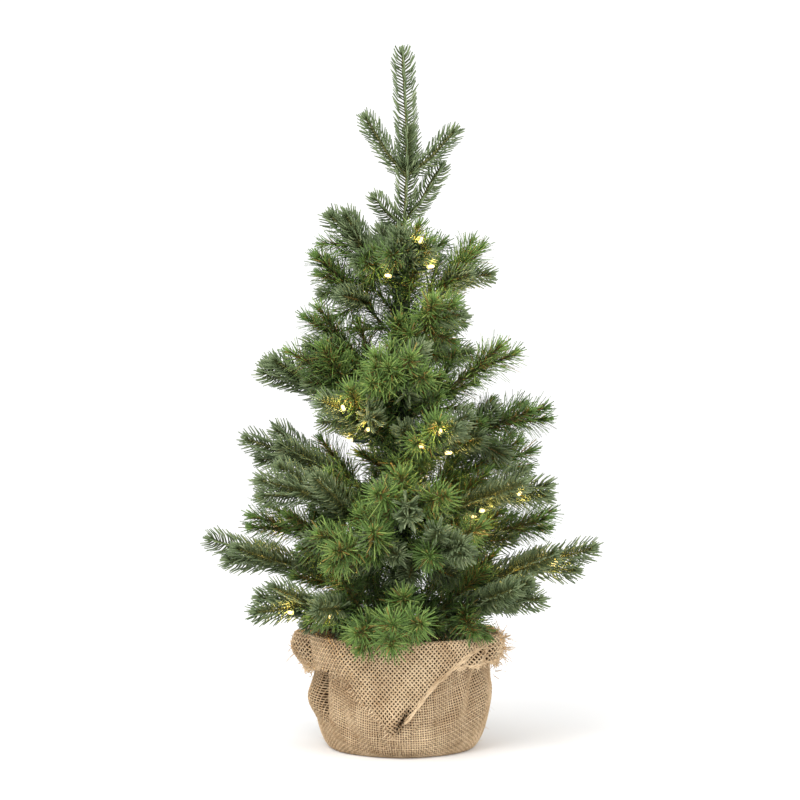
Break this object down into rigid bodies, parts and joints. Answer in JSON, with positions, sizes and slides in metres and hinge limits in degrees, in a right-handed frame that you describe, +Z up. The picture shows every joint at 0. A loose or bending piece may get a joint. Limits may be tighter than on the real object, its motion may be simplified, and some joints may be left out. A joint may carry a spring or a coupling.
{
  "type": "artificial tabletop tree",
  "caption": "Artificial conifer with bendable wire branches and warm-white battery lights, standing in a weighted base wrapped in jute cloth folded over in a pointed cuff.",
  "frame": {"origin": "centre of the base's underside, on the table", "axes": "+Z up along the trunk, +X to the right and -Y to the front, seen from the side where the cuff's point hangs"},
  "size_m": [0.3219, 0.2663, 0.5921],
  "materials": {
    "jute_cloth": "matt, open plain weave of coarse jute yarn",
    "pot_plastic": "matt black injection moulding",
    "cement": "rough cast",
    "steel": "plain drawn steel",
    "cut_foliage": "cut plastic sheet, mid green, slight sheen",
    "moulded_foliage": "moulded needles, blue-green with lighter faces, satin",
    "green_cable": "dark green cable jacket, slight gloss",
    "light_string": "dark green cable and husks with clear warm-white lamps",
    "box_plastic": "fine-textured dark green moulding",
    "switch_plastic": "matt dark grey moulding",
    "cell_jacket": "plain printed jacket with no marks"
  },
  "bodies": {
    "base_and_trunk": {"burlap_wrap": "jute_cloth", "base_pot": "pot_plastic", "cement_weight": "cement", "trunk_socket": "pot_plastic", "trunk_pole": "steel", "trunk_wrap": "cut_foliage", "light_cable": "green_cable", "battery_case": "box_plastic", "battery_cell_1": "cell_jacket", "battery_cell_2": "cell_jacket", "battery_cell_3": "cell_jacket", "contact_plate": "steel", "contact_spring_plate": "steel"},
    "branch_01": {"branch_01": "moulded_foliage", "light_run_01": "light_string"},
    "branch_02": {"branch_02": "moulded_foliage"},
    "branch_03": {"branch_03": "moulded_foliage"},
    "branch_04": {"branch_04": "moulded_foliage", "light_run_02": "light_string"},
    "branch_05": {"branch_05": "moulded_foliage"},
    "branch_06": {"branch_06": "moulded_foliage"},
    "branch_07": {"branch_07": "moulded_foliage"},
    "branch_08": {"branch_08": "moulded_foliage", "light_run_03": "light_string"},
    "branch_09": {"branch_09": "moulded_foliage"},
    "branch_10": {"branch_10": "moulded_foliage"},
    "branch_11": {"branch_11": "moulded_foliage"},
    "branch_12": {"branch_12": "moulded_foliage"},
    "branch_13": {"branch_13": "moulded_foliage"},
    "branch_14": {"branch_14": "moulded_foliage"},
    "branch_15": {"branch_15": "moulded_foliage", "light_run_04": "light_string"},
    "branch_16": {"branch_16": "moulded_foliage"},
    "branch_17": {"branch_17": "moulded_foliage"},
    "branch_18": {"branch_18": "moulded_foliage", "light_run_05": "light_string"},
    "branch_19": {"branch_19": "moulded_foliage"},
    "branch_20": {"branch_20": "moulded_foliage"},
    "branch_21": {"branch_21": "moulded_foliage", "light_run_06": "light_string"},
    "branch_22": {"branch_22": "moulded_foliage", "light_run_07": "light_string"},
    "branch_23": {"branch_23": "moulded_foliage"},
    "branch_24": {"branch_24": "moulded_foliage"},
    "branch_25": {"branch_25": "moulded_foliage"},
    "branch_26": {"branch_26": "moulded_foliage"},
    "branch_27": {"branch_27": "moulded_foliage"},
    "branch_28": {"branch_28": "moulded_foliage"},
    "branch_29": {"branch_29": "moulded_foliage"},
    "branch_30": {"branch_30": "moulded_foliage"},
    "branch_31": {"branch_31": "moulded_foliage"},
    "branch_32": {"branch_32": "moulded_foliage", "light_run_08": "light_string"},
    "branch_33": {"branch_33": "moulded_foliage"},
    "branch_34": {"branch_34": "moulded_foliage", "light_run_09": "light_string"},
    "branch_35": {"branch_35": "moulded_foliage"},
    "tree_top": {"tree_top": "moulded_foliage"},
    "battery_lid": {"battery_lid": "box_plastic"},
    "switch": {"switch_slider": "switch_plastic"}
  },
  "joints": [
    {"name": "branch_01_fold", "type": "hinge", "parent": "base_and_trunk", "child": "branch_01", "pos_m": [0.00886, -0.00156, 0.116], "axis": [-0.1736, -0.9848, 0], "range_deg": [-8, 40]},
    {"name": "branch_02_fold", "type": "hinge", "parent": "base_and_trunk", "child": "branch_02", "pos_m": [0.00755, -0.0049, 0.11], "axis": [-0.5446, -0.8387, 0], "range_deg": [-3, 40]},
    {"name": "branch_03_fold", "type": "hinge", "parent": "base_and_trunk", "child": "branch_03", "pos_m": [-0.00063, -0.00898, 0.111], "axis": [-0.9976, 0.0698, 0], "range_deg": [-3, 40]},
    {"name": "branch_04_fold", "type": "hinge", "parent": "base_and_trunk", "child": "branch_04", "pos_m": [-0.00737, -0.00516, 0.11], "axis": [-0.5736, 0.8192, 0], "range_deg": [-3, 40]},
    {"name": "branch_05_fold", "type": "hinge", "parent": "base_and_trunk", "child": "branch_05", "pos_m": [-0.00899, -0.00047, 0.118], "axis": [-0.0523, 0.9986, 0], "range_deg": [-8, 40]},
    {"name": "branch_06_fold", "type": "hinge", "parent": "base_and_trunk", "child": "branch_06", "pos_m": [-0.00477, 0.00763, 0.114], "axis": [0.848, 0.5299, 0], "range_deg": [-8, 40]},
    {"name": "branch_07_fold", "type": "hinge", "parent": "base_and_trunk", "child": "branch_07", "pos_m": [0.00422, 0.00795, 0.113], "axis": [0.8829, -0.4695, 0], "range_deg": [-8, 40]},
    {"name": "branch_08_fold", "type": "hinge", "parent": "base_and_trunk", "child": "branch_08", "pos_m": [-0.00861, -0.00263, 0.152], "axis": [-0.2924, 0.9563, 0], "range_deg": [-12, 40]},
    {"name": "branch_09_fold", "type": "hinge", "parent": "base_and_trunk", "child": "branch_09", "pos_m": [0.00366, -0.00822, 0.157], "axis": [-0.9135, -0.4067, 0], "range_deg": [-12, 40]},
    {"name": "branch_10_fold", "type": "hinge", "parent": "base_and_trunk", "child": "branch_10", "pos_m": [-0.00394, -0.00809, 0.16], "axis": [-0.8988, 0.4384, 0], "range_deg": [-12, 40]},
    {"name": "branch_11_fold", "type": "hinge", "parent": "base_and_trunk", "child": "branch_11", "pos_m": [0.0088, 0.00187, 0.152], "axis": [0.2079, -0.9781, 0], "range_deg": [-12, 40]},
    {"name": "branch_12_fold", "type": "hinge", "parent": "base_and_trunk", "child": "branch_12", "pos_m": [-0.00779, -0.0045, 0.176], "axis": [-0.5, 0.866, 0], "range_deg": [-12, 40]},
    {"name": "branch_13_fold", "type": "hinge", "parent": "base_and_trunk", "child": "branch_13", "pos_m": [-0.00308, 0.00846, 0.164], "axis": [0.9397, 0.342, 0], "range_deg": [-12, 40]},
    {"name": "branch_14_fold", "type": "hinge", "parent": "base_and_trunk", "child": "branch_14", "pos_m": [0.00516, 0.00737, 0.162], "axis": [0.8192, -0.5736, 0], "range_deg": [-12, 40]},
    {"name": "branch_15_fold", "type": "hinge", "parent": "base_and_trunk", "child": "branch_15", "pos_m": [0.00822, -0.00366, 0.188], "axis": [-0.4067, -0.9135, 0], "range_deg": [-12, 40]},
    {"name": "branch_16_fold", "type": "hinge", "parent": "base_and_trunk", "child": "branch_16", "pos_m": [0.00031, -0.00899, 0.201], "axis": [-0.9994, -0.0349, 0], "range_deg": [-12, 40]},
    {"name": "branch_17_fold", "type": "hinge", "parent": "base_and_trunk", "child": "branch_17", "pos_m": [-0.00886, 0.00156, 0.205], "axis": [0.1736, 0.9848, 0], "range_deg": [-12, 40]},
    {"name": "branch_18_fold", "type": "hinge", "parent": "base_and_trunk", "child": "branch_18", "pos_m": [0.00031, 0.00899, 0.208], "axis": [0.9994, -0.0349, 0], "range_deg": [-12, 40]},
    {"name": "branch_19_fold", "type": "hinge", "parent": "base_and_trunk", "child": "branch_19", "pos_m": [0.00809, 0.00394, 0.213], "axis": [0.4384, -0.8988, 0], "range_deg": [-12, 40]},
    {"name": "branch_20_fold", "type": "hinge", "parent": "base_and_trunk", "child": "branch_20", "pos_m": [0.00893, -0.0011, 0.239], "axis": [-0.1219, -0.9925, 0], "range_deg": [-12, 40]},
    {"name": "branch_21_fold", "type": "hinge", "parent": "base_and_trunk", "child": "branch_21", "pos_m": [0.00422, -0.00795, 0.246], "axis": [-0.8829, -0.4695, 0], "range_deg": [-12, 40]},
    {"name": "branch_22_fold", "type": "hinge", "parent": "base_and_trunk", "child": "branch_22", "pos_m": [-0.00579, -0.00689, 0.252], "axis": [-0.766, 0.6428, 0], "range_deg": [-12, 40]},
    {"name": "branch_23_fold", "type": "hinge", "parent": "base_and_trunk", "child": "branch_23", "pos_m": [-0.00899, 0.00031, 0.262], "axis": [0.0349, 0.9994, 0], "range_deg": [-12, 35]},
    {"name": "branch_24_fold", "type": "hinge", "parent": "base_and_trunk", "child": "branch_24", "pos_m": [-0.00187, 0.0088, 0.256], "axis": [0.9781, 0.2079, 0], "range_deg": [-12, 35]},
    {"name": "branch_25_fold", "type": "hinge", "parent": "base_and_trunk", "child": "branch_25", "pos_m": [-0.00795, -0.00422, 0.278], "axis": [-0.4695, 0.8829, 0], "range_deg": [-12, 35]},
    {"name": "branch_26_fold", "type": "hinge", "parent": "base_and_trunk", "child": "branch_26", "pos_m": [0.00834, -0.00337, 0.284], "axis": [-0.3746, -0.9272, 0], "range_deg": [-12, 35]},
    {"name": "branch_27_fold", "type": "hinge", "parent": "base_and_trunk", "child": "branch_27", "pos_m": [-0.00125, -0.00891, 0.294], "axis": [-0.9903, 0.1392, 0], "range_deg": [-12, 40]},
    {"name": "branch_28_fold", "type": "hinge", "parent": "base_and_trunk", "child": "branch_28", "pos_m": [-0.00873, -0.00218, 0.309], "axis": [-0.2419, 0.9703, 0], "range_deg": [-12, 30]},
    {"name": "branch_29_fold", "type": "hinge", "parent": "base_and_trunk", "child": "branch_29", "pos_m": [0.00308, 0.00846, 0.301], "axis": [0.9397, -0.342, 0], "range_deg": [-12, 35]},
    {"name": "branch_30_fold", "type": "hinge", "parent": "base_and_trunk", "child": "branch_30", "pos_m": [0.00554, -0.00709, 0.343], "axis": [-0.788, -0.6157, 0], "range_deg": [-12, 35]},
    {"name": "branch_31_fold", "type": "hinge", "parent": "base_and_trunk", "child": "branch_31", "pos_m": [-0.00899, -0.00031, 0.353], "axis": [-0.0349, 0.9994, 0], "range_deg": [-12, 20]},
    {"name": "branch_32_fold", "type": "hinge", "parent": "base_and_trunk", "child": "branch_32", "pos_m": [0.00873, 0.00218, 0.362], "axis": [0.2419, -0.9703, 0], "range_deg": [-12, 20]},
    {"name": "branch_33_fold", "type": "hinge", "parent": "base_and_trunk", "child": "branch_33", "pos_m": [-0.00846, -0.00308, 0.394], "axis": [-0.342, 0.9397, 0], "range_deg": [-12, 20]},
    {"name": "branch_34_fold", "type": "hinge", "parent": "base_and_trunk", "child": "branch_34", "pos_m": [0.00094, -0.00895, 0.396], "axis": [-0.9945, -0.1045, 0], "range_deg": [-12, 20]},
    {"name": "branch_35_fold", "type": "hinge", "parent": "base_and_trunk", "child": "branch_35", "pos_m": [-0.00218, 0.00873, 0.392], "axis": [0.9703, 0.2419, 0], "range_deg": [-12, 20]},
    {"name": "leader_bend", "type": "hinge", "parent": "base_and_trunk", "child": "tree_top", "pos_m": [0, 0, 0.435], "axis": [0, 1, 0], "range_deg": [-25, 25]},
    {"name": "lid_slide", "type": "slide", "parent": "base_and_trunk", "child": "battery_lid", "axis": [1, 0, 0], "range_m": [0, 0.08]},
    {"name": "switch_slide", "type": "slide", "parent": "base_and_trunk", "child": "switch", "axis": [1, 0, 0], "range_m": [0, 0.006]}
  ]
}
